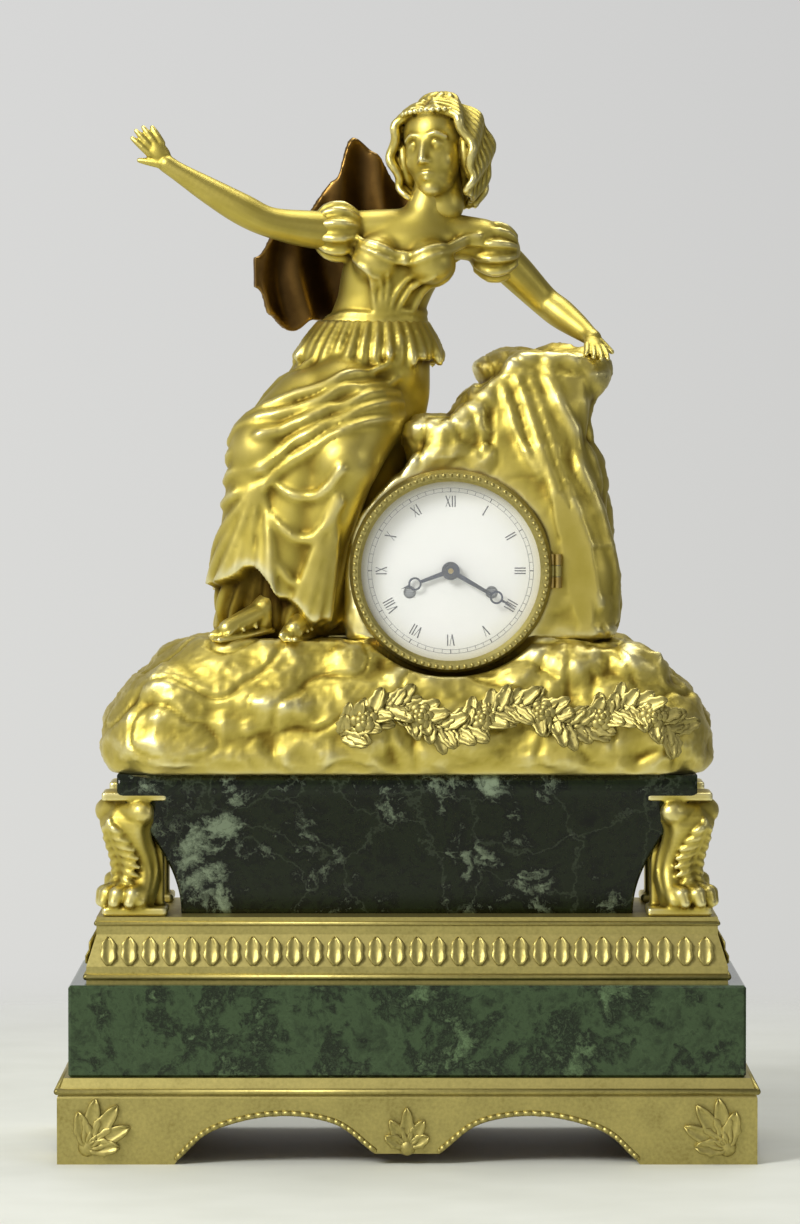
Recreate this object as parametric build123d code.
"""A figural mantel clock: a seated figure in gilt bronze beside a rock that holds the clock drum,
on a terrace, a flared marble body with corner feet, a gilt plinth, a marble block and a gilt apron
base. A spring-driven movement with a going train, a counting strike train, a pendulum and a bell
fills the drum.

Millimetres, +Z up, the dial faces -Y, origin at the middle of the base on the table."""

from build123d import *
import math
import os

# Fits and cuts shared by all pieces
OVERRUN = 3.0
RUN_GAP = 0.3
PIVOT_GAP = 0.08
SHAKE = 0.25
SEAT_FIT = 0.1

# Apron base
BASE_WIDTH = 322.0
BASE_DEPTH = 150.0
APRON_HEIGHT = 39.5
APRON_WALL = 10.0
APRON_COVE = 3.0
APRON_COVE_RISE = 9.0
APRON_FOOT = 54.0
APRON_SIDE_FOOT = 40.0
APRON_ARCH = 22.0
APRON_SIDE_ARCH = 18.0
APRON_DROP_WIDTH = 30.0
APRON_DROP_LIFT = 5.0
ARCH_CROWN_SHARE = 0.5
ARCH_DROP_MID_SHARES = (0.40, 0.80)
ARCH_FOOT_MID_SHARES = (0.62, 0.70)
BOARD_THICKNESS = 12.0

# Lower marble block
BLOCK_SETBACK = 5.0
BLOCK_HEIGHT = 42.5
BLOCK_EDGE = 1.2

# Gilt plinth and its wooden core
PLINTH_SETBACK = 8.0
PLINTH_HEIGHT = 30.5
PLINTH_BAND = 8.0
PLINTH_TAPER = 4.5
PLINTH_WALL = 4.0

# Flared marble body
BODY_HEIGHT = 65.5
BODY_SETBACK_X = 9.5
BODY_SETBACK_Y = 1.5
BODY_FLARE_X = 29.0
BODY_FLARE_Y = 20.0
BODY_RIM = 8.0
BODY_LEVELS = 7

# Corner feet between the plinth and the body's rim
FOOT_WIDTH = 30.0
FOOT_DEPTH = 30.0
FOOT_INSET = 1.5
FOOT_LEVEL_SHARES = ((0.0, 1.0), (0.22, 1.0), (0.36, 0.84), (0.62, 0.82), (0.84, 0.96), (1.0, 1.0))

# Tie rods that hold the base stack together
TIE_RADIUS = 3.0
TIE_FIT = 0.3
TIE_SPREAD = 75.0
TIE_NUT_SIZE = 11.0
TIE_NUT_HEIGHT = 5.0
TIE_TAIL = 3.0
LUG_WIDTH = 18.0
LUG_HEIGHT = 5.0

# Rocky terrace
MOUND_LIP_X = 8.0
MOUND_LIP_Y = 5.0
MOUND_HEIGHT = 62.0
MOUND_CORNER = 30.0
MOUND_WALL = 6.0
MOUND_LEVEL_SHARES = (
    (0.0, 0.972, 0.955),
    (0.12, 1.0, 1.0),
    (0.40, 0.995, 0.985),
    (0.62, 0.93, 0.92),
    (0.86, 0.80, 0.82),
    (1.0, 0.72, 0.74),
)

# Clock drum and its openings
DIAL_X = 20.2
DIAL_HEIGHT = 32.0
DRUM_RADIUS = 45.0
DRUM_WALL = 2.0
DRUM_FRONT = -42.0
DRUM_REAR = 46.0

# Rock that holds the drum, as shares of its width, depth and height at each level
ROCK_WIDTH = 126.0
ROCK_DEPTH = 82.0
ROCK_CORNER = 12.0
ROCK_WALL = 4.0
ROCK_LEVEL_SHARES = (
    (0.0, 0.102, 1.0, 1.0),
    (0.24, 0.106, 1.008, 1.0),
    (0.45, 0.078, 0.952, 0.976),
    (0.65, 0.117, 0.714, 0.878),
    (0.83, 0.229, 0.587, 0.73),
    (1.0, 0.324, 0.44, 0.55),
)
BAY_HALF = 29.0
BAY_FRONT = 10.5
BAY_FLOOR_DROP = 38.0

# Figure: places and radii are shares of the figure's height above the terrace
FIGURE_HEIGHT = 257.0
SKIRT_WALL = 6.0
PALM = 5.0
NECK_SHARE = 0.782
SKIRT_SHARES = (
    (0.0, -0.218, -0.012, 0.162, 0.156),
    (0.117, -0.200, -0.026, 0.157, 0.160),
    (0.253, -0.164, -0.035, 0.168, 0.158),
    (0.370, -0.122, -0.023, 0.175, 0.146),
    (0.470, -0.090, 0.0, 0.162, 0.114),
    (0.560, -0.066, 0.016, 0.118, 0.084),
)
TORSO_SHARES = (
    (0.560, -0.064, 0.016, 0.108, 0.078),
    (0.640, -0.035, 0.008, 0.098, 0.074),
    (0.700, -0.004, -0.002, 0.126, 0.084),
    (0.752, 0.018, 0.006, 0.126, 0.060),
    (NECK_SHARE, 0.036, 0.004, 0.041, 0.039),
)
NECK_LIMB_SHARES = (((0.036, 0.004, 0.765), 0.037), ((0.050, -0.004, 0.870), 0.033))
SKULL_SHARES = ((0.054, -0.004, 0.903), 0.070)
JAW_SHARES = ((0.047, -0.031, 0.862), 0.049)
BUN_SHARES = ((0.066, 0.027, 0.964), 0.036)
RIGHT_ARM_SHARES = (
    ((-0.105, 0.0, 0.737), 0.047),
    ((-0.257, -0.062, 0.757), 0.034),
    ((-0.420, -0.086, 0.844), 0.022),
    ((-0.467, -0.090, 0.891), 0.024),
    ((-0.494, -0.090, 0.938), 0.012),
)
LEFT_ARM_SHARES = (
    ((0.148, 0.012, 0.718), 0.046),
    ((0.257, 0.062, 0.611), 0.034),
    ((0.327, 0.0, 0.555), 0.022),
    ((0.350, -0.035, 0.540), 0.024),
    ((0.366, -0.066, 0.532), 0.014),
)
FEET_SHARES = (
    (((-0.312, -0.110, 0.0265), 0.026), ((-0.360, -0.160, 0.0195), 0.019)),
    (((-0.187, -0.120, 0.0265), 0.026), ((-0.205, -0.172, 0.0195), 0.019)),
)
MANTLE_THICK = 7.0
MANTLE_PLAN_SHARES = ((-0.285, 0.010), (-0.040, 0.098), (0.170, 0.050))
MANTLE_OUTLINE_SHARES = (
    (-0.100, 0.898),
    (0.060, 0.840),
    (0.165, 0.740),
    (0.150, 0.620),
    (0.040, 0.545),
    (-0.205, 0.552),
    (-0.280, 0.650),
    (-0.272, 0.748),
    (-0.180, 0.805),
)

# Front bezel, glass and dial
BEZEL_RADIUS = 47.0
BEZEL_SIGHT_RADIUS = 41.5
BEZEL_DEPTH = 7.3
BEZEL_LIP = 1.6
GLASS_THICKNESS = 1.5
GLASS_DOME = 3.5
GLASS_SEAT_RADIUS = 43.0
DIAL_RADIUS = 42.2
DIAL_THICKNESS = 1.5
DIAL_FACE = -39.0
DIAL_CENTRE_HOLE = 4.0
DIAL_FOOT_RADIUS = 1.5
DIAL_FOOT_CIRCLE = 33.0
DIAL_FOOT_ANGLES = (30.0, 150.0, 270.0)
WINDING_HOLE = 2.9
WINDING_X = 19.0
WINDING_DROP = 10.0
HINGE_PIN_RADIUS = 1.0
HINGE_KNUCKLE_RADIUS = 2.0
HINGE_KNUCKLE = 5.0
HINGE_OFFSET = 2.6
HINGE_LEAF = 1.6
HINGE_FORWARD = 1.4
SWING_ROOM = 1.0

# Rear ring and rear cover
REAR_RING_RADIUS = 47.0
REAR_RING_SIGHT = 39.0
REAR_RING_DEPTH = 2.0
REAR_COVER_RADIUS = 45.5
REAR_COVER_DEPTH = 1.6
REAR_KNOB_RADIUS = 3.0
REAR_KNOB_DEPTH = 5.0
STRAP_WIDTH = 9.0

# Movement frame
PLATE_RADIUS = 41.0
PLATE_THICKNESS = 2.0
FRONT_PLATE_FACE = -30.0
PLATE_SPACING = 36.0
PILLAR_RADIUS = 2.6
PILLAR_CIRCLE = 37.0
PILLAR_ANGLES = (40.0, 140.0, 250.0, 290.0)
ARBOR_RADIUS = 0.6
PIVOT_RADIUS = 0.4

# Tooth form
PRESSURE_ANGLE = math.radians(20)
WHEEL_TIP_SHARE = 0.6
PINION_TIP_SHARE = 0.7
ROOT_SHARE = 1.25
WHEEL_TOOTH_SHARE = 0.70
PINION_TOOTH_SHARE = 0.66
WHEEL_THICKNESS = 1.4
PINION_LENGTH = 3.2
SPOKE_HOLES = 5
SPOKE_HOLE_PLACE_SHARE = 0.58
SPOKE_HOLE_SIZE_SHARE = 0.21

# Barrels, mainsprings and winding work
BARREL_TEETH = 84
BARREL_LENGTH = 20.0
BARREL_WALL = 1.2
BARREL_RIM = 2.4
BARREL_ARBOR_RADIUS = 2.4
BARREL_HUB_RADIUS = 4.5
SPRING_TURNS = 7
SPRING_STRIP = 0.7
SPRING_STEPS = 20
WINDING_SQUARE = 3.2
WINDING_SQUARE_PROUD = 1.2
RATCHET_TEETH = 24
RATCHET_RADIUS = 7.5
RATCHET_DEPTH_SHARE = 0.14
RATCHET_THICKNESS = 1.6
CLICK_LENGTH = 8.0
CLICK_WIDTH = 2.6
CLICK_ANGLE = -62.0

# Going train
CENTRE_PINION_TEETH = 14
CENTRE_TEETH = 96
CENTRE_MODULE = 0.28
CENTRE_ARBOR_RADIUS = 1.2
CENTRE_BODY_RADIUS = 1.8
THIRD_PINION_TEETH = 8
THIRD_TEETH = 104
THIRD_MODULE = 0.22
THIRD_ANGLE = 60.0
ESCAPE_PINION_TEETH = 8
ESCAPE_TEETH = 39
ESCAPE_RADIUS = 8.4
ESCAPE_DEPTH_SHARE = 0.16
CENTRE_WHEEL_Y = -4.2
THIRD_WHEEL_Y = -0.2
ESCAPE_WHEEL_Y = 3.4

# Escapement, crutch and pendulum
PALLET_RISE = 34.0
PALLET_REACH = 1.8
PALLET_CLEAR = 1.2
PALLET_THICKNESS = 1.6
PALLET_BAR = 2.2
CRUTCH_WIDTH = 2.6
CRUTCH_THICKNESS = 1.0
CRUTCH_LENGTH = 22.0
FORK_LENGTH = 6.5
FORK_PRONG = 1.0
ROD_RADIUS = 1.5
ROD_Y = 16.0
PENDULUM_LENGTH = 84.0
PENDULUM_SWING = 6.0
ROD_TAIL = 18.0
BOB_RADIUS = 14.0
BOB_THICKNESS = 8.0
RATING_NUT_RADIUS = 3.2
RATING_NUT_HEIGHT = 2.4
COCK_WIDTH = 10.0
COCK_HEIGHT = 3.6
COCK_LIFT = 1.6
COCK_REACH = 9.5
SUSPENSION_WIDTH = 3.0
SUSPENSION_THICKNESS = 0.4

# Motion work and hands
CANNON_TEETH = 16
MINUTE_WHEEL_TEETH = 48
MINUTE_PINION_TEETH = 10
HOUR_WHEEL_TEETH = 40
MOTION_MODULE = 0.3
MOTION_ANGLE = 90.0
MOTION_WHEEL_THICKNESS = 1.2
MOTION_START = 1.0
MOTION_STEP = 1.6
CANNON_PIPE_RADIUS = 1.9
HOUR_PIPE_WALL = 0.7
HOUR_HAND_Y = -41.6
MINUTE_HAND_Y = -43.4
HAND_THICKNESS = 0.7
HOUR_HAND_LENGTH = 24.5
MINUTE_HAND_LENGTH = 34.0
HAND_BOSS_RADIUS = 4.2
HAND_ROOT_WIDTH = 2.4
HAND_NECK_WIDTH = 1.3
HAND_MOON_RADIUS = 3.1
HAND_MOON_WALL = 0.9
HAND_MOON_SHARE = 0.72
HAND_NUT_RADIUS = 2.6
HAND_NUT_HEIGHT = 1.8
SHOWN_HOUR = 8
SHOWN_MINUTE = 20

# Strike train, hammer and bell
STRIKE_PINION_TEETH = 12
STRIKE_ANGLE = 100.0
SECOND_TEETH = 72
SECOND_MODULE = 0.28
PIN_PINION_TEETH = 8
PIN_ANGLE = 55.0
PIN_TEETH = 80
PIN_MODULE = 0.22
FLY_PINION_TEETH = 8
FLY_ANGLE = 80.0
SECOND_WHEEL_Y = -4.2
PIN_WHEEL_Y = 0.4
HAMMER_PINS = 10
HAMMER_PIN_RADIUS = 0.45
HAMMER_PIN_LENGTH = 1.2
HAMMER_PIN_PLACE_SHARE = 0.84
HAMMER_PIN_TURN_SHARE = 0.58
HAMMER_STUD_RADIUS = 0.8
FLY_RADIUS = 5.8
FLY_LENGTH = 13.0
FLY_THICKNESS = 0.6
COUNT_RADIUS = 14.0
COUNT_SLOT = 3.0
COUNT_THICKNESS = 1.4
COUNT_STEPS = 90
BELL_RADIUS = 28.0
BELL_DEPTH = 18.0
BELL_WALL = 1.8
BELL_CROWN_RADIUS = 6.0
BELL_SHOULDER_SHARE = 0.6
BELL_STEPS = 8
BELL_MOUTH_Y = 25.0
BELL_X = -12.0
BELL_DROP = 6.0
BELL_POST_RADIUS = 2.2
BELL_SCREW_RADIUS = 4.0
BELL_SCREW_HEIGHT = 1.6
HAMMER_PIVOT_X = 25.0
HAMMER_PIVOT_DROP = 27.0
HAMMER_ARM = 2.0
HAMMER_HEAD_RADIUS = 3.2
HAMMER_HEAD_LENGTH = 6.0
HAMMER_GAP = 0.6
HAMMER_HUB_RADIUS = 3.0

# Levels worked out from the stack
block_z = APRON_HEIGHT
plinth_z = block_z + BLOCK_HEIGHT
body_z = plinth_z + PLINTH_HEIGHT
mound_z = body_z + BODY_HEIGHT
terrace_z = mound_z + MOUND_HEIGHT
dial_z = terrace_z + DIAL_HEIGHT

block_width = BASE_WIDTH - 2 * BLOCK_SETBACK
block_depth = BASE_DEPTH - 2 * BLOCK_SETBACK
plinth_width = block_width - 2 * PLINTH_SETBACK
plinth_depth = block_depth - 2 * PLINTH_SETBACK
plinth_top_width = plinth_width - 2 * PLINTH_TAPER
plinth_top_depth = plinth_depth - 2 * PLINTH_TAPER
body_width = plinth_top_width - 2 * BODY_SETBACK_X
body_depth = plinth_top_depth - 2 * BODY_SETBACK_Y
mound_width = body_width + 2 * MOUND_LIP_X
mound_depth = body_depth + 2 * MOUND_LIP_Y

parts = {}


def keep(name, shape):
    """Files a finished piece under its name."""
    parts[name] = shape
    return shape


def block_between(low, high):
    """A box from its lowest to its highest corner."""
    size = [b - a for a, b in zip(low, high)]
    middle = [(a + b) / 2 for a, b in zip(low, high)]
    return Pos(*middle) * Box(*size)


def axle(radius, start, end, x, z):
    """A cylinder along Y."""
    return Pos(x, (start + end) / 2, z) * Rot(90, 0, 0) * Cylinder(radius, end - start)


def post(radius, bottom, top, x, y):
    """An upright cylinder."""
    return Pos(x, y, (bottom + top) / 2) * Cylinder(radius, top - bottom)


def plate(points, start, end):
    """A flat plate between two Y planes, with its outline given as (x, z) points."""
    outline = Wire.make_polygon([Vector(x, start, z) for x, z in points], close=True)
    return extrude(Face(outline), amount=end - start, dir=(0, 1, 0))


def moulded(levels):
    """A block with rectangular sections, given as (z, width, depth) from the bottom up."""
    return loft([Pos(0, 0, z) * Rectangle(w, d) for z, w, d in levels], ruled=True)


def polar(radius, degrees, x=0.0, z=0.0):
    """A point in the dial's plane, turned anticlockwise from +X."""
    angle = math.radians(degrees)
    return (x + radius * math.cos(angle), z + radius * math.sin(angle))


def turned(profile, x, z):
    """A piece turned about an axle along Y, from a (radius, y) outline."""
    outline = Wire.make_polygon([Vector(x + r, y, z) for r, y in profile], close=True)
    return revolve(Face(outline), axis=Axis((x, 0, z), (0, 1, 0)))


# Apron base: a cast frame with bracket feet, arched between them, and the board that closes it
apron_levels = (
    (0, BASE_WIDTH, BASE_DEPTH),
    (APRON_HEIGHT - APRON_COVE_RISE, BASE_WIDTH, BASE_DEPTH),
    (APRON_HEIGHT, BASE_WIDTH - 2 * APRON_COVE, BASE_DEPTH - 2 * APRON_COVE),
)
hollow_width = BASE_WIDTH - 2 * APRON_WALL
hollow_depth = BASE_DEPTH - 2 * APRON_WALL


def front_arch():
    """The shape cut below the front and back rails: two arches with a drop between them."""
    drop = APRON_DROP_WIDTH / 2
    foot = BASE_WIDTH / 2 - APRON_FOOT
    crown = drop + (foot - drop) * ARCH_CROWN_SHARE
    rise = APRON_ARCH - APRON_DROP_LIFT
    edges = []
    for side in (1, -1):
        inner = (
            side * (drop + (crown - drop) * ARCH_DROP_MID_SHARES[0]),
            APRON_DROP_LIFT + rise * ARCH_DROP_MID_SHARES[1],
        )
        outer = (
            side * (crown + (foot - crown) * ARCH_FOOT_MID_SHARES[0]),
            APRON_ARCH * ARCH_FOOT_MID_SHARES[1],
        )
        edges.append(ThreePointArc((side * drop, APRON_DROP_LIFT), inner, (side * crown, APRON_ARCH)))
        edges.append(ThreePointArc((side * crown, APRON_ARCH), outer, (side * foot, 0)))
    edges.append(Line((-drop, APRON_DROP_LIFT), (drop, APRON_DROP_LIFT)))
    edges.append(Polyline((-foot, 0), (-foot, -OVERRUN), (foot, -OVERRUN), (foot, 0)))
    return extrude(Plane.XZ * make_face(edges), amount=BASE_DEPTH, both=True)


def side_arch():
    """The single arch cut below each side rail."""
    foot = BASE_DEPTH / 2 - APRON_SIDE_FOOT
    edges = [
        ThreePointArc((-foot, 0), (0, APRON_SIDE_ARCH), (foot, 0)),
        Polyline((-foot, 0), (-foot, -OVERRUN), (foot, -OVERRUN), (foot, 0)),
    ]
    return extrude(Plane.YZ * make_face(edges), amount=BASE_WIDTH, both=True)


tie_xs = (-TIE_SPREAD, TIE_SPREAD)
tie_foot = APRON_HEIGHT - BOARD_THICKNESS - TIE_NUT_HEIGHT - TIE_TAIL
tie_head = mound_z + LUG_HEIGHT + TIE_NUT_HEIGHT + TIE_TAIL
tie_holes = [post(TIE_RADIUS + TIE_FIT, 0, tie_head, x, 0) for x in tie_xs]

apron = moulded(apron_levels)
apron -= block_between(
    (-hollow_width / 2, -hollow_depth / 2, -OVERRUN),
    (hollow_width / 2, hollow_depth / 2, APRON_HEIGHT + OVERRUN),
)
keep("base_apron", apron - front_arch() - side_arch())

board = block_between(
    (-hollow_width / 2, -hollow_depth / 2, APRON_HEIGHT - BOARD_THICKNESS),
    (hollow_width / 2, hollow_depth / 2, APRON_HEIGHT),
)
keep("base_board", board - tie_holes)

# Lower marble block
block = block_between(
    (-block_width / 2, -block_depth / 2, block_z), (block_width / 2, block_depth / 2, plinth_z)
)
keep("lower_marble", chamfer(block.edges(), BLOCK_EDGE) - tie_holes)

# Gilt plinth over a wooden core
plinth = moulded(
    (
        (plinth_z, plinth_width, plinth_depth),
        (plinth_z + PLINTH_BAND, plinth_width, plinth_depth),
        (body_z - PLINTH_BAND, plinth_top_width, plinth_top_depth),
        (body_z, plinth_top_width, plinth_top_depth),
    )
)
core_width = plinth_top_width - 2 * PLINTH_WALL
core_depth = plinth_top_depth - 2 * PLINTH_WALL
core = block_between(
    (-core_width / 2, -core_depth / 2, plinth_z), (core_width / 2, core_depth / 2, body_z - PLINTH_WALL)
)
keep("gilt_plinth", plinth - core - tie_holes)
keep("plinth_core", core - tie_holes)

# Flared marble body: a hollow quarter curve under a straight rim
rim_z = mound_z - BODY_RIM
body_levels = []
for step in range(BODY_LEVELS + 1):
    turn = step / BODY_LEVELS
    flare = 1 - math.cos(turn * math.pi / 2)
    body_levels.append(
        (
            body_z + (rim_z - body_z) * turn,
            body_width - 2 * BODY_FLARE_X * (1 - flare),
            body_depth - 2 * BODY_FLARE_Y * (1 - flare),
        )
    )
body_levels.append((mound_z, body_width, body_depth))
marble_body = moulded(body_levels)
keep("marble_body", marble_body - tie_holes)

# Corner feet: each stands on the plinth's corner and carries the body's rim
foot_x = plinth_top_width / 2 - FOOT_INSET - FOOT_WIDTH / 2
foot_y = plinth_top_depth / 2 - FOOT_INSET - FOOT_DEPTH / 2
foot_sections = [
    Pos(0, 0, body_z + (rim_z - body_z) * height) * Rectangle(FOOT_WIDTH * size, FOOT_DEPTH * size)
    for height, size in FOOT_LEVEL_SHARES
]
foot_blank = loft(foot_sections, ruled=True)
feet = [
    Pos(side * foot_x, end * foot_y, 0) * foot_blank - marble_body for side in (-1, 1) for end in (-1, 1)
]
keep("corner_feet", Compound(children=feet))

# Terrace: a hollow rocky casting with two lugs for the tie rods and a window behind for the pendulum
bay_low = (DIAL_X - BAY_HALF, BAY_FRONT, terrace_z - BAY_FLOOR_DROP)
bay_high = (DIAL_X + BAY_HALF, mound_depth / 2 + OVERRUN, dial_z)
bay = block_between(bay_low, bay_high)


def terrace(inset, rise):
    """The terrace's form, drawn in by a wall thickness on its sides and lowered at its top."""
    sections = []
    for height, wide, deep in MOUND_LEVEL_SHARES:
        outline = RectangleRounded(
            mound_width * wide - 2 * inset, mound_depth * deep - 2 * inset, MOUND_CORNER - inset
        )
        sections.append(Pos(0, 0, mound_z + rise * height) * outline)
    return loft(sections, ruled=True)


mound_form = terrace(0, MOUND_HEIGHT)
mound = mound_form - terrace(MOUND_WALL, MOUND_HEIGHT - MOUND_WALL)
for x in tie_xs:
    lug = block_between(
        (x - LUG_WIDTH / 2, -mound_depth / 2, mound_z),
        (x + LUG_WIDTH / 2, mound_depth / 2, mound_z + LUG_HEIGHT),
    )
    mound += lug & mound_form

keep("tie_rods", Compound(children=[post(TIE_RADIUS, tie_foot, tie_head, x, 0) for x in tie_xs]))


def tie_nut(x, z):
    """A square nut on a tie rod."""
    standing = (Align.CENTER, Align.CENTER, Align.MIN)
    nut = Pos(x, 0, z) * Box(TIE_NUT_SIZE, TIE_NUT_SIZE, TIE_NUT_HEIGHT, align=standing)
    return nut - post(TIE_RADIUS, z - OVERRUN, z + TIE_NUT_HEIGHT + OVERRUN, x, 0)


nut_floors = (tie_foot + TIE_TAIL, mound_z + LUG_HEIGHT)
keep("tie_nuts", Compound(children=[tie_nut(x, z) for x in tie_xs for z in nut_floors]))

# Rock with a collar round the drum, the drum's bore and the pendulum bay behind
hand_z = terrace_z + FIGURE_HEIGHT * LEFT_ARM_SHARES[3][0][2]
rock_height = hand_z - PALM - terrace_z
rock_sections = []
for height, aside, wide, deep in ROCK_LEVEL_SHARES:
    outline = RectangleRounded(ROCK_WIDTH * wide, ROCK_DEPTH * deep, ROCK_CORNER)
    rock_sections.append(Pos(DIAL_X + ROCK_WIDTH * aside, 0, terrace_z + rock_height * height) * outline)
rock_reach = DRUM_RADIUS + ROCK_WALL
rock_far = DIAL_X + ROCK_WIDTH
rock_knee = rock_reach * (math.sqrt(2) - 1)
rock_zone = plate(
    (
        (DIAL_X - rock_reach, terrace_z),
        (DIAL_X - rock_reach, dial_z + rock_knee),
        (rock_far, dial_z + rock_knee + ROCK_WIDTH + rock_reach),
        (rock_far, terrace_z),
    ),
    -ROCK_DEPTH,
    ROCK_DEPTH,
)
collar_half = ROCK_DEPTH * ROCK_LEVEL_SHARES[3][3] / 2
collar = axle(rock_reach, -collar_half, collar_half, DIAL_X, dial_z)
rock = (loft(rock_sections, ruled=True) + collar) & rock_zone
rock -= axle(DRUM_RADIUS, -ROCK_DEPTH, ROCK_DEPTH, DIAL_X, dial_z)


# Figure
def spot(shares):
    """A place on the figure, from shares of its height."""
    x, y, z = (FIGURE_HEIGHT * share for share in shares)
    return Vector(x, y, terrace_z + z)


def ball(entry):
    """A sphere on the figure."""
    place, radius = entry
    return Pos(*spot(place)) * Sphere(FIGURE_HEIGHT * radius)


def limb(entries):
    """A tapering limb through spheres, joined by cones."""
    shape = ball(entries[0])
    for near, far in zip(entries, entries[1:]):
        reach = spot(far[0]) - spot(near[0])
        cone = Cone(
            FIGURE_HEIGHT * near[1],
            FIGURE_HEIGHT * far[1],
            reach.length,
            align=(Align.CENTER, Align.CENTER, Align.MIN),
        )
        shape += Plane(origin=spot(near[0]), z_dir=reach) * cone
        shape += ball(far)
    return shape


def rounds(table, inset=0.0):
    """A smooth form through oval sections, drawn in by a wall thickness."""
    sections = []
    for z, x, y, wide, deep in table:
        oval = Ellipse(FIGURE_HEIGHT * wide - inset, FIGURE_HEIGHT * deep - inset)
        sections.append(Pos(*spot((x, y, z))) * oval)
    return loft(sections)


skirt_form = rounds(SKIRT_SHARES) - rock_zone
skirt_inside = rounds(SKIRT_SHARES[:-1], SKIRT_WALL)
keep("figure_skirt", skirt_form - skirt_inside)

torso = rounds(TORSO_SHARES)
keep("figure_torso", torso)

neck_z = terrace_z + FIGURE_HEIGHT * NECK_SHARE
head = limb(NECK_LIMB_SHARES) + ball(SKULL_SHARES) + ball(JAW_SHARES) + ball(BUN_SHARES)
head -= block_between((-BASE_WIDTH, -BASE_DEPTH, terrace_z), (BASE_WIDTH, BASE_DEPTH, neck_z))
keep("figure_head", head)

right_arm = limb(RIGHT_ARM_SHARES) - torso - skirt_form
left_arm = limb(LEFT_ARM_SHARES) - torso - rock
keep("figure_right_arm", right_arm)
keep("figure_left_arm", left_arm)

figure_feet = [limb(foot) - mound_form - skirt_form for foot in FEET_SHARES]
keep("figure_feet", Compound(children=figure_feet))

mantle_arc = [(FIGURE_HEIGHT * x, FIGURE_HEIGHT * y) for x, y in MANTLE_PLAN_SHARES]
mantle_back = [(x, y + MANTLE_THICK) for x, y in mantle_arc]
mantle_plan = make_face(
    [
        ThreePointArc(*mantle_arc),
        Line(mantle_arc[-1], mantle_back[-1]),
        ThreePointArc(*mantle_back),
        Line(mantle_back[0], mantle_arc[0]),
    ]
)
mantle = extrude(Pos(0, 0, terrace_z) * mantle_plan, amount=FIGURE_HEIGHT)
mantle_outline = [(FIGURE_HEIGHT * x, terrace_z + FIGURE_HEIGHT * z) for x, z in MANTLE_OUTLINE_SHARES]
mantle &= plate(mantle_outline, -BASE_DEPTH, BASE_DEPTH)
keep("figure_mantle", mantle - torso - head - right_arm - left_arm - skirt_form)

# Drum, rear ring and the straps that hold the movement
drum = axle(DRUM_RADIUS, DRUM_FRONT, DRUM_REAR, DIAL_X, dial_z)
drum -= axle(DRUM_RADIUS - DRUM_WALL, DRUM_FRONT - OVERRUN, DRUM_REAR + OVERRUN, DIAL_X, dial_z)
slot_half = BOB_RADIUS + PENDULUM_LENGTH * math.sin(math.radians(PENDULUM_SWING))
pendulum_slot = block_between(
    (DIAL_X - slot_half, ROD_Y - BOB_THICKNESS / 2 - RUN_GAP, dial_z - DRUM_RADIUS - OVERRUN),
    (DIAL_X + slot_half, ROD_Y + BOB_THICKNESS / 2 + RUN_GAP, dial_z),
)
back_face = FRONT_PLATE_FACE + PLATE_THICKNESS + PLATE_SPACING
back_plate_rear = back_face + PLATE_THICKNESS


def hinge_lug(x, start, end, z, reach, height):
    """A knuckle round an upright hinge pin, with a leaf that reaches sideways to what it is fixed to."""
    middle = (start + end) / 2
    knuckle = post(HINGE_KNUCKLE_RADIUS, z - height / 2, z + height / 2, x, middle)
    low = (min(x, reach), middle - HINGE_LEAF / 2, z - height / 2)
    high = (max(x, reach), middle + HINGE_LEAF / 2, z + height / 2)
    return knuckle + block_between(low, high)


bezel_rear = DRUM_FRONT - RUN_GAP
bezel_front = bezel_rear - BEZEL_DEPTH
bezel_pivot = (DIAL_X + BEZEL_RADIUS + HINGE_OFFSET, bezel_rear - HINGE_FORWARD)
cover_front = DRUM_REAR + REAR_RING_DEPTH + RUN_GAP
cover_rear = cover_front + REAR_COVER_DEPTH
cover_pivot = (DIAL_X - REAR_RING_RADIUS - HINGE_OFFSET, cover_front + HINGE_FORWARD)
pin_reach = HINGE_KNUCKLE * 3 / 2 + RUN_GAP


def hinge_hole(pivot, fit):
    """The hole for an upright hinge pin, or with no fit the pin itself."""
    return post(HINGE_PIN_RADIUS + fit, dial_z - pin_reach, dial_z + pin_reach, *pivot)


def fixed_knuckles(pivot, reach, leaf_y):
    """The two outer knuckles, whose leaves reach back to the drum."""
    shape = None
    for side in (-1, 1):
        z = dial_z + side * (HINGE_KNUCKLE + RUN_GAP)
        knuckle = post(HINGE_KNUCKLE_RADIUS, z - HINGE_KNUCKLE / 2, z + HINGE_KNUCKLE / 2, *pivot)
        low = (min(pivot[0], reach), min(pivot[1], leaf_y), z - HINGE_KNUCKLE / 2)
        high = (max(pivot[0], reach), max(pivot[1], leaf_y), z + HINGE_KNUCKLE / 2)
        lug = knuckle + block_between(low, high)
        shape = lug if shape is None else shape + lug
    return shape - hinge_hole(pivot, 0)


bezel_hinge = fixed_knuckles(bezel_pivot, DIAL_X + DRUM_RADIUS - DRUM_WALL, DRUM_FRONT + HINGE_LEAF)
bezel_hinge -= axle(BEZEL_RADIUS + RUN_GAP, bezel_front, DRUM_FRONT, DIAL_X, dial_z)
bezel_hinge -= axle(DRUM_RADIUS - DRUM_WALL, DRUM_FRONT, DRUM_REAR, DIAL_X, dial_z)
keep("movement_drum", drum - pendulum_slot + bezel_hinge)
keep("rock_case", rock - bay - bezel_hinge)
keep("bezel_hinge_pin", hinge_hole(bezel_pivot, 0))

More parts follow.
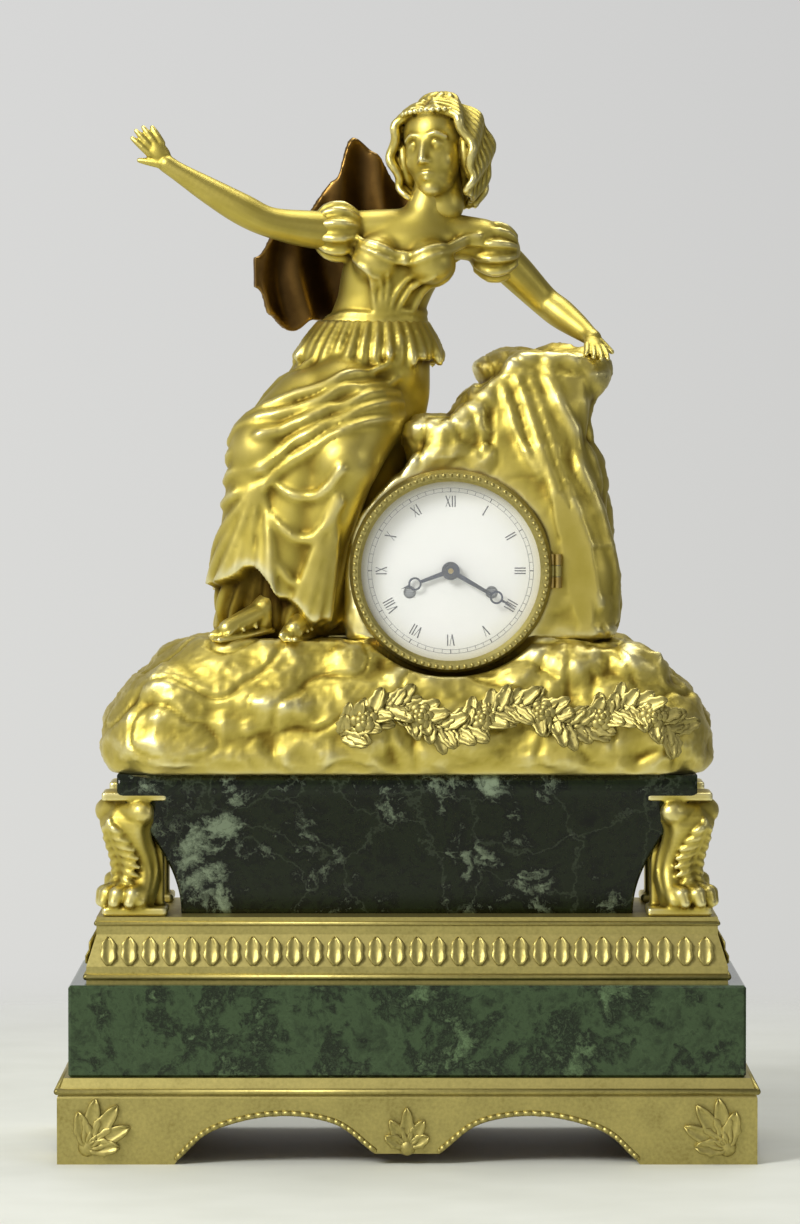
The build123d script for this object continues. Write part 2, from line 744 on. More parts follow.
rear_ring = axle(REAR_RING_RADIUS, DRUM_REAR, DRUM_REAR + REAR_RING_DEPTH, DIAL_X, dial_z)
rear_ring -= axle(REAR_RING_SIGHT, DRUM_REAR - OVERRUN, cover_rear, DIAL_X, dial_z)
cover_sweep = axle(REAR_COVER_RADIUS + RUN_GAP, cover_front - RUN_GAP, cover_rear + OVERRUN, DIAL_X, dial_z)
ring_knuckles = fixed_knuckles(cover_pivot, DIAL_X - REAR_RING_SIGHT - OVERRUN, DRUM_REAR + RUN_GAP)
keep("rear_ring", rear_ring + (ring_knuckles - cover_sweep))
keep("rear_hinge_pin", hinge_hole(cover_pivot, 0))

# Rooms in the terrace for the swing of both doors, each lined with a wall, and a cradle under the drum
bezel_room = (
    Vector(DIAL_X - BEZEL_RADIUS - SWING_ROOM, -mound_depth, dial_z - BEZEL_RADIUS - SWING_ROOM),
    Vector(bezel_pivot[0] + BEZEL_RADIUS, DRUM_FRONT, dial_z),
)
cover_room = (
    Vector(cover_pivot[0] - REAR_RING_RADIUS, DRUM_REAR, dial_z - REAR_RING_RADIUS - SWING_ROOM),
    Vector(DIAL_X + REAR_RING_RADIUS + SWING_ROOM, mound_depth, dial_z),
)
lining = Vector(MOUND_WALL, MOUND_WALL, MOUND_WALL)
for low, high in (bezel_room, cover_room):
    mound += block_between(low - lining, high + lining) & mound_form
mound += axle(DRUM_RADIUS + MOUND_WALL, DRUM_FRONT, DRUM_REAR, DIAL_X, dial_z) & mound_form
drum_room = axle(DRUM_RADIUS, -mound_depth, mound_depth, DIAL_X, dial_z)
mound -= [block_between(*bezel_room), block_between(*cover_room), drum_room]
keep("terrace_mound", mound - bay - tie_holes)

strap_ring = axle(DRUM_RADIUS - DRUM_WALL - SEAT_FIT, FRONT_PLATE_FACE, DRUM_REAR, DIAL_X, dial_z)
strap_ring -= axle(PLATE_RADIUS + SEAT_FIT, FRONT_PLATE_FACE - OVERRUN, DRUM_REAR + OVERRUN, DIAL_X, dial_z)
strap_band = block_between(
    (DIAL_X - DRUM_RADIUS, FRONT_PLATE_FACE, dial_z - STRAP_WIDTH / 2),
    (DIAL_X + DRUM_RADIUS, DRUM_REAR, dial_z + STRAP_WIDTH / 2),
)
keep("case_straps", strap_ring & strap_band)

# Front bezel with its glass, and the rear cover
bezel = turned(
    (
        (BEZEL_RADIUS, bezel_rear),
        (BEZEL_RADIUS, bezel_rear - BEZEL_DEPTH / 3),
        (BEZEL_RADIUS - BEZEL_LIP, bezel_front),
        (BEZEL_SIGHT_RADIUS + BEZEL_LIP, bezel_front),
        (BEZEL_SIGHT_RADIUS, bezel_front + BEZEL_LIP),
        (BEZEL_SIGHT_RADIUS, bezel_rear - BEZEL_DEPTH / 3 - GLASS_THICKNESS),
        (GLASS_SEAT_RADIUS, bezel_rear - BEZEL_DEPTH / 3 - GLASS_THICKNESS),
        (GLASS_SEAT_RADIUS, bezel_rear),
    ),
    DIAL_X,
    dial_z,
)
glass_rear = bezel_rear - BEZEL_DEPTH / 3
glass_front = glass_rear - GLASS_THICKNESS
bezel_lug = hinge_lug(
    bezel_pivot[0], bezel_pivot[1], bezel_pivot[1], dial_z, DIAL_X + BEZEL_RADIUS - BEZEL_LIP, HINGE_KNUCKLE
)
keep("front_bezel", bezel + bezel_lug - hinge_hole(bezel_pivot, PIVOT_GAP))


def glass_cap(y, dome):
    """A domed disc of glass from its edge plane forwards, over the sight opening."""
    radius = BEZEL_SIGHT_RADIUS - SEAT_FIT
    crown = ThreePointArc((-radius, y), (0, y - dome), (radius, y))
    half = make_face([crown, Line((-radius, y), (radius, y))])
    half &= Pos(radius, y) * Rectangle(2 * radius, 4 * dome)
    return Pos(DIAL_X, 0, dial_z) * revolve(half, axis=Axis.Y)


glass = axle(GLASS_SEAT_RADIUS - SEAT_FIT, glass_front, glass_rear, DIAL_X, dial_z)
glass += glass_cap(glass_front, GLASS_DOME)
keep("dial_glass", glass - glass_cap(glass_rear, GLASS_DOME))

cover = axle(REAR_COVER_RADIUS, cover_front, cover_rear, DIAL_X, dial_z)
cover_lug = hinge_lug(
    cover_pivot[0],
    cover_pivot[1],
    cover_pivot[1],
    dial_z,
    DIAL_X - REAR_COVER_RADIUS + HINGE_KNUCKLE,
    HINGE_KNUCKLE,
)
cover_lug -= axle(REAR_COVER_RADIUS + HINGE_KNUCKLE, DRUM_REAR - OVERRUN, cover_front, DIAL_X, dial_z)
knob_x = DIAL_X + REAR_COVER_RADIUS - 2 * REAR_KNOB_RADIUS
knob = axle(REAR_KNOB_RADIUS, cover_rear, cover_rear + REAR_KNOB_DEPTH, knob_x, dial_z)
keep("rear_cover", cover + cover_lug + knob - hinge_hole(cover_pivot, PIVOT_GAP))


# Toothed pieces
def tooth_outline(teeth, module, phase, tip_share, tooth_share, x, z):
    """The outline of a gear with involute flanks, one tooth pointing along phase (radians)."""
    pitch = teeth * module / 2
    base = pitch * math.cos(PRESSURE_ANGLE)
    root = pitch - ROOT_SHARE * module
    tip = pitch + tip_share * module
    start = max(base, root)

    def half_width(radius):
        slope = math.acos(min(1, base / radius))
        roll = math.tan(PRESSURE_ANGLE) - PRESSURE_ANGLE - math.tan(slope) + slope
        return math.pi / 2 / teeth * tooth_share + roll

    flank = [(root, half_width(start))] if root < start else []
    flank += [(r, half_width(r)) for r in (start, (start + tip) / 2, tip)]
    points = []
    for tooth in range(teeth):
        middle = phase + 2 * math.pi * tooth / teeth
        for side, rows in ((-1, flank), (1, flank[::-1])):
            for radius, angle in rows:
                turn = middle + side * angle
                points.append((x + radius * math.cos(turn), z + radius * math.sin(turn)))
    return points


def wheel(teeth, module, phase, place, start, thickness, bore, spokes=True):
    """A brass wheel with round openings between its arms."""
    x, z = place
    outline = tooth_outline(teeth, module, phase, WHEEL_TIP_SHARE, WHEEL_TOOTH_SHARE, x, z)
    shape = plate(outline, start, start + thickness)
    pitch = teeth * module / 2
    cutters = [axle(bore, start - OVERRUN, start + thickness + OVERRUN, x, z)]
    if spokes:
        for hole in range(SPOKE_HOLES):
            hx, hz = polar(pitch * SPOKE_HOLE_PLACE_SHARE, 360 * hole / SPOKE_HOLES, x, z)
            cutters.append(
                axle(pitch * SPOKE_HOLE_SIZE_SHARE, start - OVERRUN, start + thickness + OVERRUN, hx, hz)
            )
    return shape - cutters


def pinion(teeth, module, phase, place, start, length):
    """A solid pinion of few leaves."""
    x, z = place
    outline = tooth_outline(teeth, module, phase, PINION_TIP_SHARE, PINION_TOOTH_SHARE, x, z)
    return plate(outline, start, start + length)


def mesh(phase, teeth, other_teeth, here, there):
    """The phase of a gear at there that meshes with a gear of the given phase at here."""
    line = math.atan2(there[1] - here[1], there[0] - here[0])
    return line + math.pi + math.pi / other_teeth - (phase - line) * teeth / other_teeth


def saw(teeth, radius, depth_share, x, z):
    """The outline of a saw-toothed wheel."""
    points = []
    for tooth in range(teeth):
        points.append(polar(radius, 360 * tooth / teeth, x, z))
        points.append(polar(radius * (1 - depth_share), 360 * (tooth + depth_share) / teeth, x, z))
    return points


inner_front = FRONT_PLATE_FACE + PLATE_THICKNESS


def arbor(place):
    """A steel arbor between the plates, with a pivot at each end."""
    body = axle(ARBOR_RADIUS, inner_front + SHAKE, back_face - SHAKE, *place)
    return body + axle(PIVOT_RADIUS, FRONT_PLATE_FACE, back_plate_rear, *place)


centre = (DIAL_X, dial_z)
going_place = (DIAL_X + WINDING_X, dial_z - WINDING_DROP)
strike_place = (DIAL_X - WINDING_X, dial_z - WINDING_DROP)
barrel_offset = math.hypot(WINDING_X, WINDING_DROP)
barrel_module = 2 * barrel_offset / (BARREL_TEETH + CENTRE_PINION_TEETH)
barrel_front = inner_front + SHAKE
barrel_rear = barrel_front + BARREL_LENGTH
barrel_radius = barrel_module * (BARREL_TEETH / 2 - ROOT_SHARE)
going_rim = barrel_rear - BARREL_RIM
strike_rim = barrel_front

third_place = polar(CENTRE_MODULE * (CENTRE_TEETH + THIRD_PINION_TEETH) / 2, THIRD_ANGLE, *centre)
escape_reach = THIRD_MODULE * (THIRD_TEETH + ESCAPE_PINION_TEETH) / 2
escape_place = (DIAL_X, third_place[1] + math.sqrt(escape_reach**2 - (third_place[0] - DIAL_X) ** 2))
pallet_place = (DIAL_X, dial_z + PALLET_RISE)
second_place = polar(barrel_module * (BARREL_TEETH + STRIKE_PINION_TEETH) / 2, STRIKE_ANGLE, *strike_place)
pin_place = polar(SECOND_MODULE * (SECOND_TEETH + PIN_PINION_TEETH) / 2, PIN_ANGLE, *second_place)
fly_place = polar(PIN_MODULE * (PIN_TEETH + FLY_PINION_TEETH) / 2, FLY_ANGLE, *pin_place)
motion_reach = MOTION_MODULE * (CANNON_TEETH + MINUTE_WHEEL_TEETH) / 2
motion_place = polar(motion_reach, MOTION_ANGLE, *centre)

# Movement plates and pillars
pivot_places = (third_place, escape_place, second_place, pin_place, fly_place, pallet_place)
hammer_place = (DIAL_X + HAMMER_PIVOT_X, dial_z - HAMMER_PIVOT_DROP)


def movement_plate(start, end):
    """A round plate drilled for all the arbors."""
    cutters = [axle(PIVOT_RADIUS + PIVOT_GAP, start - OVERRUN, end + OVERRUN, *p) for p in pivot_places]
    cutters.append(axle(CENTRE_ARBOR_RADIUS + PIVOT_GAP, start - OVERRUN, end + OVERRUN, *centre))
    for p in (going_place, strike_place):
        cutters.append(axle(BARREL_ARBOR_RADIUS + PIVOT_GAP, start - OVERRUN, end + OVERRUN, *p))
    return axle(PLATE_RADIUS, start, end, *centre) - cutters


pillars = [
    axle(PILLAR_RADIUS, inner_front, back_face, *polar(PILLAR_CIRCLE, angle, *centre))
    for angle in PILLAR_ANGLES
]
keep("plate_pillars", Compound(children=pillars))


# Barrels with their springs, arbors, ratchets and clicks
def barrel(place, rim, phase):
    """A spring barrel: a cup and cover with a toothed rim at one end."""
    shape = axle(barrel_radius, barrel_front, barrel_rear, *place)
    shape += plate(
        tooth_outline(BARREL_TEETH, barrel_module, phase, WHEEL_TIP_SHARE, WHEEL_TOOTH_SHARE, *place),
        rim,
        rim + BARREL_RIM,
    )
    room = (barrel_front + BARREL_WALL, barrel_rear - BARREL_WALL)
    shape -= axle(barrel_radius - BARREL_WALL, *room, *place)
    through = (barrel_front - OVERRUN, barrel_rear + OVERRUN)
    return shape - axle(BARREL_ARBOR_RADIUS + PIVOT_GAP, *through, *place)


def mainspring(place):
    """A flat spiral strip from the barrel's wall in towards the hub."""
    outer = barrel_radius - BARREL_WALL - SEAT_FIT
    inner = BARREL_HUB_RADIUS + SPRING_STRIP + RUN_GAP
    count = SPRING_TURNS * SPRING_STEPS
    outside = []
    inside = []
    for step in range(count + 1):
        radius = outer - (outer - inner) * step / count
        degrees = 360 * step / SPRING_STEPS
        outside.append(polar(radius, degrees, *place))
        inside.append(polar(radius - SPRING_STRIP, degrees, *place))
    return plate(outside + inside[::-1], barrel_front + BARREL_WALL + SHAKE, barrel_rear - BARREL_WALL - SHAKE)


def winding_arbor(place):
    """The barrel's arbor, its hub, the ratchet on the front plate and the winding square."""
    tip = DIAL_FACE - WINDING_SQUARE_PROUD
    shape = axle(BARREL_ARBOR_RADIUS, FRONT_PLATE_FACE - RATCHET_THICKNESS, back_plate_rear, *place)
    shape += axle(
        BARREL_HUB_RADIUS, barrel_front + BARREL_WALL + SHAKE, barrel_rear - BARREL_WALL - SHAKE, *place
    )
    ratchet = plate(
        saw(RATCHET_TEETH, RATCHET_RADIUS, RATCHET_DEPTH_SHARE, *place),
        FRONT_PLATE_FACE - SHAKE - RATCHET_THICKNESS,
        FRONT_PLATE_FACE - SHAKE,
    )
    half = WINDING_SQUARE / 2
    square = block_between(
        (place[0] - half, tip, place[1] - half),
        (place[0] + half, FRONT_PLATE_FACE - RATCHET_THICKNESS, place[1] + half),
    )
    return shape + ratchet + square


def click(place, side):
    """A pawl pivoted on the front plate, its nose just clear of the ratchet's points."""
    nose = polar(RATCHET_RADIUS + RUN_GAP, CLICK_ANGLE, 0, 0)
    along = polar(1, CLICK_ANGLE - 90, 0, 0)
    out = polar(1, CLICK_ANGLE, 0, 0)
    tail = (nose[0] + along[0] * CLICK_LENGTH, nose[1] + along[1] * CLICK_LENGTH)
    wide = (tail[0] + out[0] * CLICK_WIDTH, tail[1] + out[1] * CLICK_WIDTH)
    brow = (nose[0] + out[0] * CLICK_WIDTH, nose[1] + out[1] * CLICK_WIDTH)
    points = [(place[0] + side * px, place[1] + pz) for px, pz in (nose, brow, wide, tail)]
    bar = plate(points, FRONT_PLATE_FACE - SHAKE - RATCHET_THICKNESS, FRONT_PLATE_FACE)
    return bar


centre_pinion_phase = mesh(0, BARREL_TEETH, CENTRE_PINION_TEETH, going_place, centre)
second_pinion_phase = mesh(0, BARREL_TEETH, STRIKE_PINION_TEETH, strike_place, second_place)
keep("going_barrel", barrel(going_place, going_rim, 0))
keep("strike_barrel", barrel(strike_place, strike_rim, 0))
keep("going_mainspring", mainspring(going_place))
keep("strike_mainspring", mainspring(strike_place))
keep("going_arbor", winding_arbor(going_place))
keep("strike_arbor", winding_arbor(strike_place))
keep("ratchet_clicks", Compound(children=[click(going_place, 1), click(strike_place, -1)]))

# Going train
hour_pipe_radius = CANNON_PIPE_RADIUS + PIVOT_GAP + HOUR_PIPE_WALL
hand_nut_face = MINUTE_HAND_Y - HAND_NUT_HEIGHT
centre_wheel = axle(CENTRE_ARBOR_RADIUS, hand_nut_face, back_plate_rear, *centre)
centre_wheel += axle(CENTRE_BODY_RADIUS, inner_front + SHAKE, back_face - SHAKE, *centre)
centre_wheel += pinion(
    CENTRE_PINION_TEETH, barrel_module, centre_pinion_phase, centre, going_rim - SHAKE, BARREL_RIM + SHAKE
)
centre_wheel += wheel(
    CENTRE_TEETH, CENTRE_MODULE, 0, centre, CENTRE_WHEEL_Y, WHEEL_THICKNESS, CENTRE_ARBOR_RADIUS
)
keep("centre_wheel", centre_wheel)

third_phase = mesh(0, CENTRE_TEETH, THIRD_PINION_TEETH, centre, third_place)
pinion_lead = (PINION_LENGTH - WHEEL_THICKNESS) / 2
third_wheel = arbor(third_place)
third_wheel += pinion(
    THIRD_PINION_TEETH, CENTRE_MODULE, third_phase, third_place, CENTRE_WHEEL_Y - pinion_lead, PINION_LENGTH
)
third_wheel += wheel(THIRD_TEETH, THIRD_MODULE, 0, third_place, THIRD_WHEEL_Y, WHEEL_THICKNESS, PIVOT_RADIUS)
keep("third_wheel", third_wheel)

escape_phase = mesh(0, THIRD_TEETH, ESCAPE_PINION_TEETH, third_place, escape_place)
escape_wheel = arbor(escape_place)
escape_wheel += pinion(
    ESCAPE_PINION_TEETH, THIRD_MODULE, escape_phase, escape_place, THIRD_WHEEL_Y - pinion_lead, PINION_LENGTH
)
escape_wheel += plate(
    saw(ESCAPE_TEETH, ESCAPE_RADIUS, ESCAPE_DEPTH_SHARE, *escape_place),
    ESCAPE_WHEEL_Y,
    ESCAPE_WHEEL_Y + WHEEL_THICKNESS,
)
keep("escape_wheel", escape_wheel)

# Pallets, crutch and fork on one arbor
pallet_gap = pallet_place[1] - escape_place[1] - ESCAPE_RADIUS
pallet_half = ESCAPE_RADIUS + PALLET_REACH
pallet_arch = plate(
    (
        (DIAL_X - pallet_half, pallet_place[1] - pallet_gap - PALLET_REACH),
        (DIAL_X - pallet_half, pallet_place[1]),
        (DIAL_X, pallet_place[1] + PALLET_BAR),
        (DIAL_X + pallet_half, pallet_place[1]),
        (DIAL_X + pallet_half, pallet_place[1] - pallet_gap - PALLET_REACH),
    ),
    ESCAPE_WHEEL_Y,
    ESCAPE_WHEEL_Y + PALLET_THICKNESS,
)
pallet_arch -= axle(
    ESCAPE_RADIUS + PALLET_CLEAR,
    ESCAPE_WHEEL_Y - OVERRUN,
    ESCAPE_WHEEL_Y + PALLET_THICKNESS + OVERRUN,
    *escape_place,
)
crutch_front = back_plate_rear + SHAKE
crutch_rear = crutch_front + CRUTCH_THICKNESS
crutch = block_between(
    (DIAL_X - CRUTCH_WIDTH / 2, crutch_front, pallet_place[1] - CRUTCH_LENGTH),
    (DIAL_X + CRUTCH_WIDTH / 2, crutch_rear, pallet_place[1]),
)
prong_z = pallet_place[1] - CRUTCH_LENGTH
prong_in = ROD_RADIUS + SEAT_FIT
fork = block_between(
    (DIAL_X - prong_in - FORK_PRONG, crutch_front, prong_z - FORK_PRONG),
    (DIAL_X + prong_in + FORK_PRONG, crutch_rear, prong_z + FORK_PRONG),
)
for side in (-1, 1):
    near = DIAL_X + side * prong_in
    far = DIAL_X + side * (prong_in + FORK_PRONG)
    fork += block_between(
        (min(near, far), crutch_front, prong_z - FORK_PRONG),
        (max(near, far), crutch_front + FORK_LENGTH, prong_z + FORK_PRONG),
    )
pallet_arbor = axle(ARBOR_RADIUS, inner_front + SHAKE, back_face - SHAKE, *pallet_place)
pallet_arbor += axle(PIVOT_RADIUS, FRONT_PLATE_FACE, crutch_rear, *pallet_place)
keep("pallet_anchor", pallet_arbor + pallet_arch + crutch + fork)

# Suspension and pendulum
cock_low = pallet_place[1] + COCK_LIFT
cock = block_between(
    (DIAL_X - COCK_WIDTH / 2, back_plate_rear, cock_low),
    (DIAL_X + COCK_WIDTH / 2, back_plate_rear + COCK_REACH, cock_low + COCK_HEIGHT),
)
keep("suspension_cock", cock)
keep(
    "suspension_spring",
    block_between(
        (DIAL_X - SUSPENSION_THICKNESS / 2, ROD_Y - SUSPENSION_WIDTH / 2, pallet_place[1]),
        (DIAL_X + SUSPENSION_THICKNESS / 2, ROD_Y + SUSPENSION_WIDTH / 2, cock_low),
    ),
)
bob_z = pallet_place[1] - PENDULUM_LENGTH
rod_end = bob_z - ROD_TAIL
keep("pendulum_rod", post(ROD_RADIUS, rod_end, pallet_place[1] - RUN_GAP, DIAL_X, ROD_Y))
bob = turned(
    (
        (0, ROD_Y - BOB_THICKNESS / 2),
        (BOB_RADIUS * 2 / 3, ROD_Y - BOB_THICKNESS / 2),
        (BOB_RADIUS, ROD_Y - BOB_THICKNESS / 6),
        (BOB_RADIUS, ROD_Y + BOB_THICKNESS / 6),
        (BOB_RADIUS * 2 / 3, ROD_Y + BOB_THICKNESS / 2),
        (0, ROD_Y + BOB_THICKNESS / 2),
    ),
    DIAL_X,
    bob_z,
)
keep("pendulum_bob", bob - post(ROD_RADIUS, rod_end, dial_z, DIAL_X, ROD_Y))
nut_top = bob_z - BOB_RADIUS
rating_nut = post(RATING_NUT_RADIUS, nut_top - RATING_NUT_HEIGHT, nut_top, DIAL_X, ROD_Y)
keep("rating_nut", rating_nut - post(ROD_RADIUS, rod_end, dial_z, DIAL_X, ROD_Y))

# Motion work under the dial
motion_front = FRONT_PLATE_FACE - MOTION_START - MOTION_WHEEL_THICKNESS
hour_front = motion_front - MOTION_STEP
hour_module = 2 * motion_reach / (MINUTE_PINION_TEETH + HOUR_WHEEL_TEETH)
cannon = axle(CANNON_PIPE_RADIUS, MINUTE_HAND_Y + HAND_THICKNESS, FRONT_PLATE_FACE - SHAKE, *centre)
cannon += pinion(CANNON_TEETH, MOTION_MODULE, 0, centre, motion_front, MOTION_WHEEL_THICKNESS)
cannon -= axle(CENTRE_ARBOR_RADIUS + PIVOT_GAP, DIAL_FACE - DRUM_REAR, DRUM_REAR, *centre)
keep("cannon_pinion", cannon)

minute_phase = mesh(0, CANNON_TEETH, MINUTE_WHEEL_TEETH, centre, motion_place)
minute_wheel = wheel(
    MINUTE_WHEEL_TEETH,
    MOTION_MODULE,
    minute_phase,
    motion_place,
    motion_front,
    MOTION_WHEEL_THICKNESS,
    PIVOT_RADIUS,
)
minute_wheel += pinion(MINUTE_PINION_TEETH, hour_module, 0, motion_place, hour_front, MOTION_STEP)
minute_wheel -= axle(PIVOT_RADIUS + PIVOT_GAP, hour_front - OVERRUN, FRONT_PLATE_FACE, *motion_place)
keep("minute_wheel", minute_wheel)
motion_stud = axle(PIVOT_RADIUS, hour_front, inner_front, *motion_place)
keep("front_plate", movement_plate(FRONT_PLATE_FACE, inner_front) + motion_stud)

hour_phase = mesh(0, MINUTE_PINION_TEETH, HOUR_WHEEL_TEETH, motion_place, centre)
hour_wheel = wheel(
    HOUR_WHEEL_TEETH,
    hour_module,
    hour_phase,
    centre,
    hour_front,
    MOTION_WHEEL_THICKNESS,
    CANNON_PIPE_RADIUS,
    spokes=False,
)
hour_wheel += axle(hour_pipe_radius, HOUR_HAND_Y, hour_front + MOTION_WHEEL_THICKNESS, *centre)
hour_wheel -= axle(CANNON_PIPE_RADIUS + PIVOT_GAP, HOUR_HAND_Y - OVERRUN, FRONT_PLATE_FACE, *centre)
keep("hour_wheel", hour_wheel)


# Dial and hands
def dial_plate():
    """The enamelled disc with its three feet, the centre hole and the two winding holes."""
    rear = DIAL_FACE + DIAL_THICKNESS
    shape = axle(DIAL_RADIUS, DIAL_FACE, rear, *centre)
    shape -= axle(DIAL_CENTRE_HOLE, DIAL_FACE - OVERRUN, rear + OVERRUN, *centre)
    for p in (going_place, strike_place):
        shape -= axle(WINDING_HOLE, DIAL_FACE - OVERRUN, rear + OVERRUN, *p)
    for angle in DIAL_FOOT_ANGLES:
        shape += axle(DIAL_FOOT_RADIUS, rear, FRONT_PLATE_FACE, *polar(DIAL_FOOT_CIRCLE, angle, *centre))
    return shape


keep("dial", dial_plate())


def hand(length, clock_degrees, y, bore):
    """A pierced hand with a ring near its tip."""
    moon = length * HAND_MOON_SHARE
    shape = Circle(HAND_BOSS_RADIUS)
    shape += make_face(
        Polyline(
            (-HAND_ROOT_WIDTH / 2, 0),
            (HAND_ROOT_WIDTH / 2, 0),
            (HAND_NECK_WIDTH / 2, moon),
            (-HAND_NECK_WIDTH / 2, moon),
            close=True,
        )
    )
    shape += Pos(0, moon) * Circle(HAND_MOON_RADIUS)
    shape -= Pos(0, moon) * Circle(HAND_MOON_RADIUS - HAND_MOON_WALL)
    shape += make_face(
        Polyline(
            (-HAND_NECK_WIDTH / 2, moon + HAND_MOON_RADIUS - HAND_MOON_WALL / 2),
            (HAND_NECK_WIDTH / 2, moon + HAND_MOON_RADIUS - HAND_MOON_WALL / 2),
            (0, length),
            close=True,
        )
    )
    shape -= Circle(bore)
    flat = extrude(Plane.XZ * (Rot(0, 0, -clock_degrees) * shape), amount=HAND_THICKNESS)
    return Pos(DIAL_X, y + HAND_THICKNESS, dial_z) * flat


minute_degrees = 360 * SHOWN_MINUTE / 60
hour_degrees = 360 * (SHOWN_HOUR + SHOWN_MINUTE / 60) / 12
keep("hour_hand", hand(HOUR_HAND_LENGTH, hour_degrees, HOUR_HAND_Y, hour_pipe_radius))
keep("minute_hand", hand(MINUTE_HAND_LENGTH, minute_degrees, MINUTE_HAND_Y, CENTRE_ARBOR_RADIUS + PIVOT_GAP))
hand_nut = axle(HAND_NUT_RADIUS, hand_nut_face, MINUTE_HAND_Y, *centre)
keep("hand_nut", hand_nut - axle(CENTRE_ARBOR_RADIUS + PIVOT_GAP, hand_nut_face - OVERRUN, DIAL_FACE, *centre))

# Strike train with its count wheel behind the back plate
second_wheel = arbor(second_place)
second_wheel += pinion(
    STRIKE_PINION_TEETH,
    barrel_module,
    second_pinion_phase,
    second_place,
    strike_rim + SHAKE,
    BARREL_RIM + SHAKE,
)
second_wheel += wheel(
    SECOND_TEETH, SECOND_MODULE, 0, second_place, SECOND_WHEEL_Y, WHEEL_THICKNESS, PIVOT_RADIUS
)
count_front = back_plate_rear + SHAKE
second_wheel += axle(PIVOT_RADIUS, back_plate_rear, count_front + COUNT_THICKNESS, *second_place)
keep("strike_second_wheel", second_wheel)

slots = set()
count = 0
for hour in range(1, 13):
    for strokes in (hour, 1):
        count += strokes
        slots.add(count % COUNT_STEPS)
count_points = []
for step in range(COUNT_STEPS):
    radius = COUNT_RADIUS - COUNT_SLOT if step in slots else COUNT_RADIUS
    for edge in (step, step + 1):
        count_points.append(polar(radius, 360 * edge / COUNT_STEPS, *second_place))
count_wheel = plate(count_points, count_front, count_front + COUNT_THICKNESS)
count_wheel -= axle(PIVOT_RADIUS, count_front - OVERRUN, count_front + OVERRUN, *second_place)
keep("count_wheel", count_wheel)

pin_phase = mesh(0, SECOND_TEETH, PIN_PINION_TEETH, second_place, pin_place)
pin_wheel = arbor(pin_place)
pin_wheel += pinion(
    PIN_PINION_TEETH, SECOND_MODULE, pin_phase, pin_place, SECOND_WHEEL_Y - pinion_lead, PINION_LENGTH
)
pin_wheel += wheel(PIN_TEETH, PIN_MODULE, 0, pin_place, PIN_WHEEL_Y, WHEEL_THICKNESS, PIVOT_RADIUS)
pin_circle = PIN_TEETH * PIN_MODULE / 2 * HAMMER_PIN_PLACE_SHARE
for pin in range(HAMMER_PINS):
    pin_wheel += axle(
        HAMMER_PIN_RADIUS,
        PIN_WHEEL_Y,
        PIN_WHEEL_Y + WHEEL_THICKNESS + HAMMER_PIN_LENGTH,
        *polar(pin_circle, 360 * (pin + HAMMER_PIN_TURN_SHARE) / HAMMER_PINS, *pin_place),
    )
keep("pin_wheel", pin_wheel)

fly_phase = mesh(0, PIN_TEETH, FLY_PINION_TEETH, pin_place, fly_place)
fly = arbor(fly_place)
fly += pinion(FLY_PINION_TEETH, PIN_MODULE, fly_phase, fly_place, PIN_WHEEL_Y - pinion_lead, PINION_LENGTH)
fly_rear = PIN_WHEEL_Y - PINION_LENGTH
fly += block_between(
    (fly_place[0] - FLY_RADIUS, fly_rear - FLY_LENGTH, fly_place[1] - FLY_THICKNESS / 2),
    (fly_place[0] + FLY_RADIUS, fly_rear, fly_place[1] + FLY_THICKNESS / 2),
)
keep("strike_fly", fly)

# Bell on its stand, and the hammer
bell_place = (DIAL_X + BELL_X, dial_z - BELL_DROP)
bell_rear = BELL_MOUTH_Y + BELL_DEPTH


def bell_form(radius, depth):
    """A round-shouldered cup with its mouth towards the movement."""
    profile = [(0, BELL_MOUTH_Y)]
    for step in range(BELL_STEPS):
        turn = math.pi / 2 * step / BELL_STEPS
        swell = BELL_CROWN_RADIUS + (radius - BELL_CROWN_RADIUS) * math.cos(turn) ** BELL_SHOULDER_SHARE
        profile.append((swell, BELL_MOUTH_Y + depth * math.sin(turn)))
    profile.append((BELL_CROWN_RADIUS, BELL_MOUTH_Y + depth))
    profile.append((0, BELL_MOUTH_Y + depth))
    return turned(profile, *bell_place)


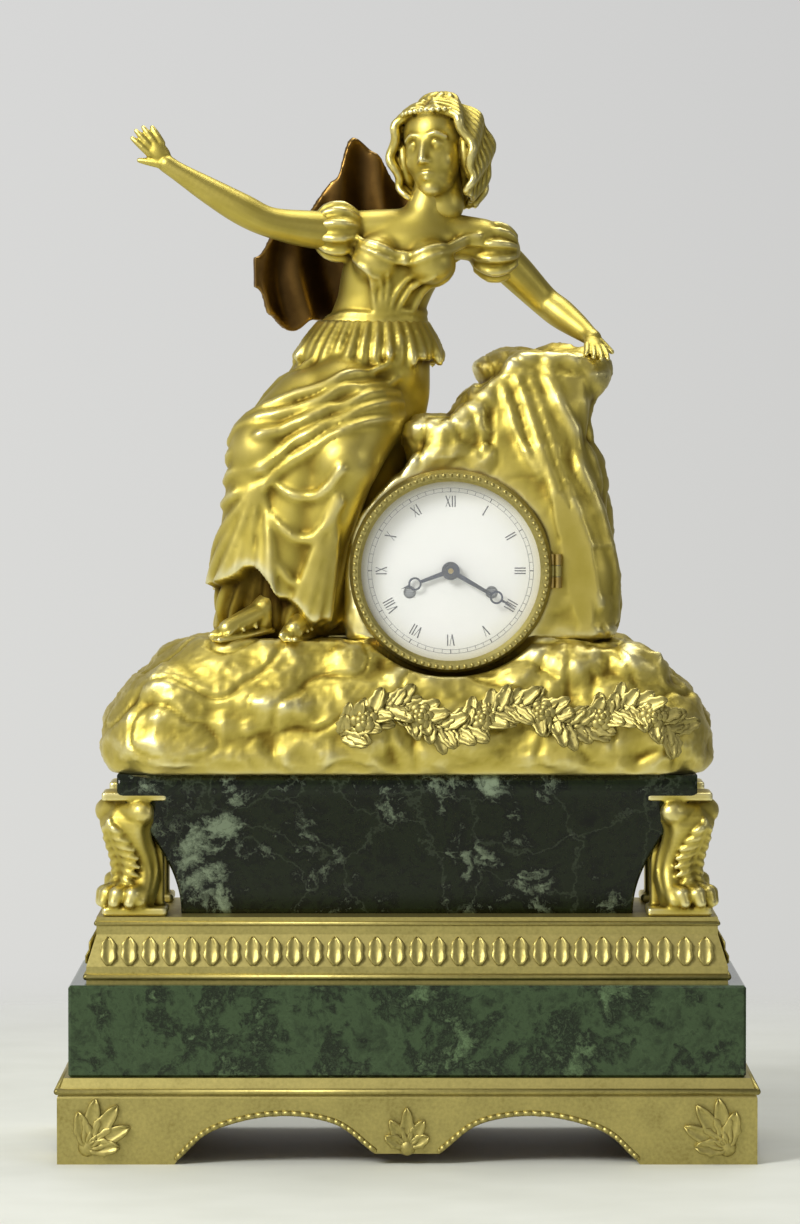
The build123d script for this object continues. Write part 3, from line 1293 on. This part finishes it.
bell = bell_form(BELL_RADIUS, BELL_DEPTH) - bell_form(BELL_RADIUS - BELL_WALL, BELL_DEPTH - BELL_WALL)
keep("bell", bell - axle(BELL_POST_RADIUS / 2, BELL_MOUTH_Y, bell_rear + OVERRUN, *bell_place))
stand = axle(BELL_POST_RADIUS, back_plate_rear, bell_rear - BELL_WALL, *bell_place)
stand += axle(BELL_POST_RADIUS / 2, back_plate_rear, bell_rear + BELL_SCREW_HEIGHT, *bell_place)
keep("bell_stand", stand + axle(BELL_SCREW_RADIUS, bell_rear, bell_rear + BELL_SCREW_HEIGHT, *bell_place))

head_x = bell_place[0] + BELL_RADIUS + HAMMER_GAP + HAMMER_HEAD_RADIUS
hammer_head_front = BELL_MOUTH_Y - HAMMER_HEAD_LENGTH / 2
hammer_stud = axle(HAMMER_STUD_RADIUS, back_face, hammer_head_front + HAMMER_ARM + RUN_GAP, *hammer_place)
keep("back_plate", movement_plate(back_face, back_plate_rear) + hammer_stud)
arm_vector = (head_x - hammer_place[0], bell_place[1] - hammer_place[1])
arm_length = math.hypot(*arm_vector)
across = (-arm_vector[1] / arm_length * HAMMER_ARM / 2, arm_vector[0] / arm_length * HAMMER_ARM / 2)
arm_points = (
    (hammer_place[0] + across[0], hammer_place[1] + across[1]),
    (hammer_place[0] - across[0], hammer_place[1] - across[1]),
    (head_x - across[0], bell_place[1] - across[1]),
    (head_x + across[0], bell_place[1] + across[1]),
)
hammer = plate(arm_points, hammer_head_front, hammer_head_front + HAMMER_ARM)
hammer += axle(HAMMER_HUB_RADIUS, hammer_head_front, hammer_head_front + HAMMER_ARM, *hammer_place)
hammer += axle(
    HAMMER_HEAD_RADIUS, hammer_head_front, hammer_head_front + HAMMER_HEAD_LENGTH, head_x, bell_place[1]
)
keep("strike_hammer", hammer - axle(HAMMER_STUD_RADIUS + PIVOT_GAP, back_plate_rear, bell_rear, *hammer_place))

os.makedirs("parts", exist_ok=True)
for name, shape in parts.items():
    export_step(shape, f"parts/{name}.step")
print(len(parts), "pieces")
